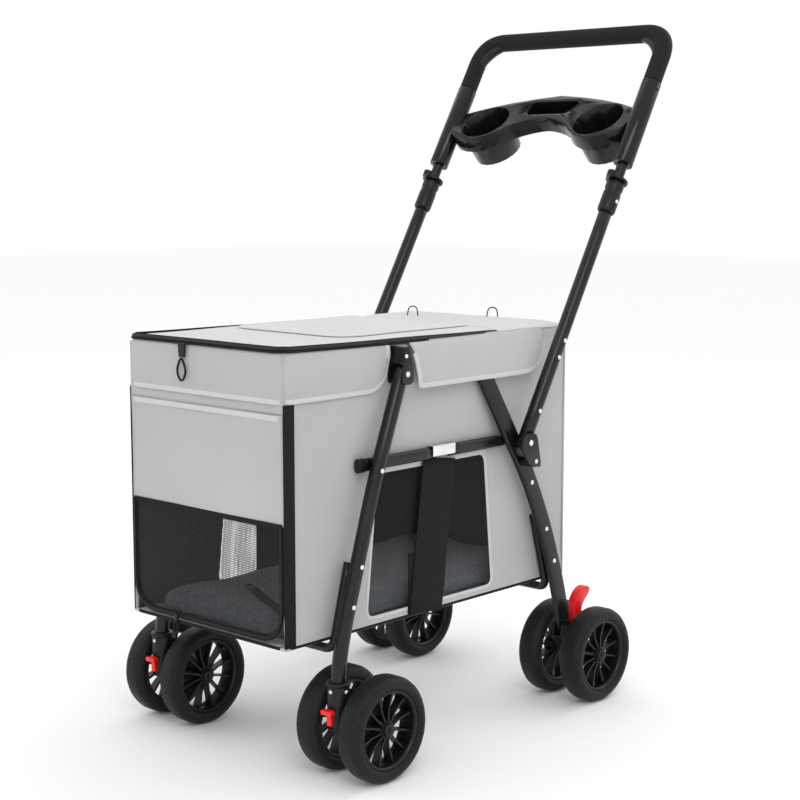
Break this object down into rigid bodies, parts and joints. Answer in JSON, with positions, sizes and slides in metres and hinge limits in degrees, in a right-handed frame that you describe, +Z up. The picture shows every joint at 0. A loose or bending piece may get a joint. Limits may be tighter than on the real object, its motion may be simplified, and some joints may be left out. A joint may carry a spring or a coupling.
{
  "type": "pet stroller",
  "caption": "Folding pet stroller: fabric cabin with mesh windows on a steel tube frame, paired swivel and fixed wheels, handle with cup tray.",
  "frame": {"origin": "on the floor under the middle of the whole stroller", "axes": "+Z up, +Y towards the rear, where the handle is, -Y the door end, X across, left at -X"},
  "size_m": [0.466, 0.8038, 1.0065],
  "materials": {
    "grey_fabric": "light grey plain-weave polyester",
    "pale_fabric": "pale grey plain-weave polyester",
    "pad_fabric": "dark grey padded plush",
    "webbing": "black ribbed webbing",
    "steel_tube": "black powder coat, satin",
    "black_plastic": "moulded black nylon, fine grain",
    "gloss_black": "glossy moulded black",
    "chrome_clip": "bright plated",
    "red_plastic": "red moulded, satin",
    "tyre": "black foam rubber tread on a black hub",
    "foam_grip": "black EVA foam, matt"
  },
  "bodies": {
    "cabin": {"floor_board": "grey_fabric", "mattress_pad": "pad_fabric", "side_panel_left": "grey_fabric", "side_panel_right": "grey_fabric", "rear_panel": "grey_fabric", "front_header": "grey_fabric", "rear_top_panel": "pale_fabric", "rim_frame": "steel_tube", "front_valance": "grey_fabric", "side_valance_left": "grey_fabric", "side_valance_right": "grey_fabric", "front_bracket_left": "black_plastic", "front_bracket_right": "black_plastic", "rear_bracket_left": "steel_tube", "rear_bracket_right": "steel_tube", "floor_strap": "webbing"},
    "lid": {"lid_panel": "pale_fabric"},
    "door": {"front_door": "grey_fabric"},
    "front_frame": {"front_leg_left": "steel_tube", "front_leg_right": "steel_tube", "front_floor_loop": "steel_tube"},
    "rear_frame": {"rear_leg_left": "steel_tube", "rear_leg_right": "steel_tube", "rear_floor_loop": "steel_tube", "hinge_plate_left": "black_plastic", "hinge_plate_right": "black_plastic", "rear_housing_left": "black_plastic", "rear_housing_right": "black_plastic"},
    "handle_lower": {"handle_lower_left": "steel_tube", "handle_lower_right": "steel_tube", "telescope_clamp_left": "black_plastic", "telescope_clamp_right": "black_plastic"},
    "handle_upper": {"handle_upper_tube": "steel_tube", "grip": "foam_grip", "parent_tray": "gloss_black"},
    "brace_front_left": {"brace_front_left": "steel_tube", "brace_clip_left": "chrome_clip"},
    "brace_rear_left": {"brace_rear_left": "steel_tube"},
    "strap_left": {"strap_riser_left": "webbing"},
    "caster_left": {"caster_housing_left": "black_plastic"},
    "swivel_lock_left": {"swivel_lock_left": "red_plastic"},
    "brake_left": {"brake_pedal_left": "red_plastic"},
    "collar_left": {"release_collar_left": "black_plastic"},
    "front_wheel_left_inner": {"front_wheel_left_inner": "tyre"},
    "front_wheel_left_outer": {"front_wheel_left_outer": "tyre"},
    "rear_wheel_left_inner": {"rear_wheel_left_inner": "tyre"},
    "rear_wheel_left_outer": {"rear_wheel_left_outer": "tyre"},
    "brace_front_right": {"brace_front_right": "steel_tube", "brace_clip_right": "chrome_clip"},
    "brace_rear_right": {"brace_rear_right": "steel_tube"},
    "strap_right": {"strap_riser_right": "webbing"},
    "caster_right": {"caster_housing_right": "black_plastic"},
    "swivel_lock_right": {"swivel_lock_right": "red_plastic"},
    "brake_right": {"brake_pedal_right": "red_plastic"},
    "collar_right": {"release_collar_right": "black_plastic"},
    "front_wheel_right_inner": {"front_wheel_right_inner": "tyre"},
    "front_wheel_right_outer": {"front_wheel_right_outer": "tyre"},
    "rear_wheel_right_inner": {"rear_wheel_right_inner": "tyre"},
    "rear_wheel_right_outer": {"rear_wheel_right_outer": "tyre"}
  },
  "joints": [
    {"name": "frame_fold", "type": "hinge", "parent": "cabin", "child": "rear_frame", "pos_m": [0, -0.02735, 0.512], "axis": [-1, 0, 0], "range_deg": [0, 20]},
    {"name": "front_frame_fold", "type": "hinge", "parent": "cabin", "child": "front_frame", "pos_m": [0, -0.19835, 0.519], "axis": [1, 0, 0], "range_deg": [0, 18.1]},
    {"name": "handle_fold", "type": "hinge", "parent": "rear_frame", "child": "handle_lower", "pos_m": [0, 0.03765, 0.398], "axis": [-1, 0, 0], "range_deg": [-84, 0]},
    {"name": "handle_extend", "type": "slide", "parent": "handle_lower", "child": "handle_upper", "axis": [0, 0.5075, 0.8616], "range_m": [0, 0.1]},
    {"name": "lid_open", "type": "hinge", "parent": "cabin", "child": "lid", "pos_m": [0, 0.02185, 0.563], "axis": [1, 0, 0], "range_deg": [-110, 0]},
    {"name": "door_open", "type": "hinge", "parent": "cabin", "child": "door", "pos_m": [0, -0.39835, 0.482], "axis": [-1, 0, 0], "range_deg": [0, 100]},
    {"name": "brace_front_fold_left", "type": "hinge", "parent": "front_frame", "child": "brace_front_left", "pos_m": [-0.1564, -0.24935, 0.404], "axis": [1, 0, 0], "range_deg": [0, 24.8]},
    {"name": "brace_rear_fold_left", "type": "hinge", "parent": "rear_frame", "child": "brace_rear_left", "pos_m": [-0.1564, 0.03265, 0.404], "axis": [-1, 0, 0], "range_deg": [0, 25]},
    {"name": "strap_slide_left", "type": "slide", "parent": "cabin", "child": "strap_left", "axis": [0, 0, 1], "range_m": [0, 0.044]},
    {"name": "caster_swivel_left", "type": "hinge", "parent": "front_frame", "child": "caster_left", "pos_m": [-0.176, -0.32985, 0.13], "axis": [0, 0, 1], "continuous": true},
    {"name": "swivel_lock_slide_left", "type": "slide", "parent": "caster_left", "child": "swivel_lock_left", "axis": [0, 0, -1], "range_m": [0, 0.004]},
    {"name": "brake_press_left", "type": "hinge", "parent": "rear_frame", "child": "brake_left", "pos_m": [-0.176, 0.17815, 0.092], "axis": [-1, 0, 0], "range_deg": [0, 12]},
    {"name": "collar_lift_left", "type": "slide", "parent": "handle_lower", "child": "collar_left", "axis": [0, 0.5075, 0.8616], "range_m": [0, 0.006], "stiffness_N_per_m": 400},
    {"name": "front_wheel_left_inner_spin", "type": "hinge", "parent": "caster_left", "child": "front_wheel_left_inner", "pos_m": [-0.138, -0.28785, 0.07], "axis": [1, 0, 0], "continuous": true},
    {"name": "front_wheel_left_outer_spin", "type": "hinge", "parent": "caster_left", "child": "front_wheel_left_outer", "pos_m": [-0.214, -0.28785, 0.07], "axis": [1, 0, 0], "continuous": true},
    {"name": "rear_wheel_left_inner_spin", "type": "hinge", "parent": "rear_frame", "child": "rear_wheel_left_inner", "pos_m": [-0.138, 0.17515, 0.07], "axis": [1, 0, 0], "continuous": true},
    {"name": "rear_wheel_left_outer_spin", "type": "hinge", "parent": "rear_frame", "child": "rear_wheel_left_outer", "pos_m": [-0.214, 0.17515, 0.07], "axis": [1, 0, 0], "continuous": true},
    {"name": "brace_front_fold_right", "type": "hinge", "parent": "front_frame", "child": "brace_front_right", "pos_m": [0.1564, -0.24935, 0.404], "axis": [1, 0, 0], "range_deg": [0, 24.8]},
    {"name": "brace_rear_fold_right", "type": "hinge", "parent": "rear_frame", "child": "brace_rear_right", "pos_m": [0.1564, 0.03265, 0.404], "axis": [-1, 0, 0], "range_deg": [0, 25]},
    {"name": "strap_slide_right", "type": "slide", "parent": "cabin", "child": "strap_right", "axis": [0, 0, 1], "range_m": [0, 0.044]},
    {"name": "caster_swivel_right", "type": "hinge", "parent": "front_frame", "child": "caster_right", "pos_m": [0.176, -0.32985, 0.13], "axis": [0, 0, 1], "continuous": true},
    {"name": "swivel_lock_slide_right", "type": "slide", "parent": "caster_right", "child": "swivel_lock_right", "axis": [0, 0, -1], "range_m": [0, 0.004]},
    {"name": "brake_press_right", "type": "hinge", "parent": "rear_frame", "child": "brake_right", "pos_m": [0.176, 0.17815, 0.092], "axis": [-1, 0, 0], "range_deg": [0, 12]},
    {"name": "collar_lift_right", "type": "slide", "parent": "handle_lower", "child": "collar_right", "axis": [0, 0.5075, 0.8616], "range_m": [0, 0.006], "stiffness_N_per_m": 400},
    {"name": "front_wheel_right_inner_spin", "type": "hinge", "parent": "caster_right", "child": "front_wheel_right_inner", "pos_m": [0.138, -0.28785, 0.07], "axis": [1, 0, 0], "continuous": true},
    {"name": "front_wheel_right_outer_spin", "type": "hinge", "parent": "caster_right", "child": "front_wheel_right_outer", "pos_m": [0.214, -0.28785, 0.07], "axis": [1, 0, 0], "continuous": true},
    {"name": "rear_wheel_right_inner_spin", "type": "hinge", "parent": "rear_frame", "child": "rear_wheel_right_inner", "pos_m": [0.138, 0.17515, 0.07], "axis": [1, 0, 0], "continuous": true},
    {"name": "rear_wheel_right_outer_spin", "type": "hinge", "parent": "rear_frame", "child": "rear_wheel_right_outer", "pos_m": [0.214, 0.17515, 0.07], "axis": [1, 0, 0], "continuous": true}
  ],
  "couplings": [
    {"joint": "front_frame_fold", "follows": "frame_fold", "ratio": 0.9},
    {"joint": "brace_front_fold_left", "follows": "frame_fold", "ratio": 1.235},
    {"joint": "brace_rear_fold_left", "follows": "frame_fold", "ratio": 1.245},
    {"joint": "strap_slide_left", "follows": "frame_fold", "m_per_rad": 0.125},
    {"joint": "brace_front_fold_right", "follows": "frame_fold", "ratio": 1.235},
    {"joint": "brace_rear_fold_right", "follows": "frame_fold", "ratio": 1.245},
    {"joint": "strap_slide_right", "follows": "frame_fold", "m_per_rad": 0.125}
  ]
}
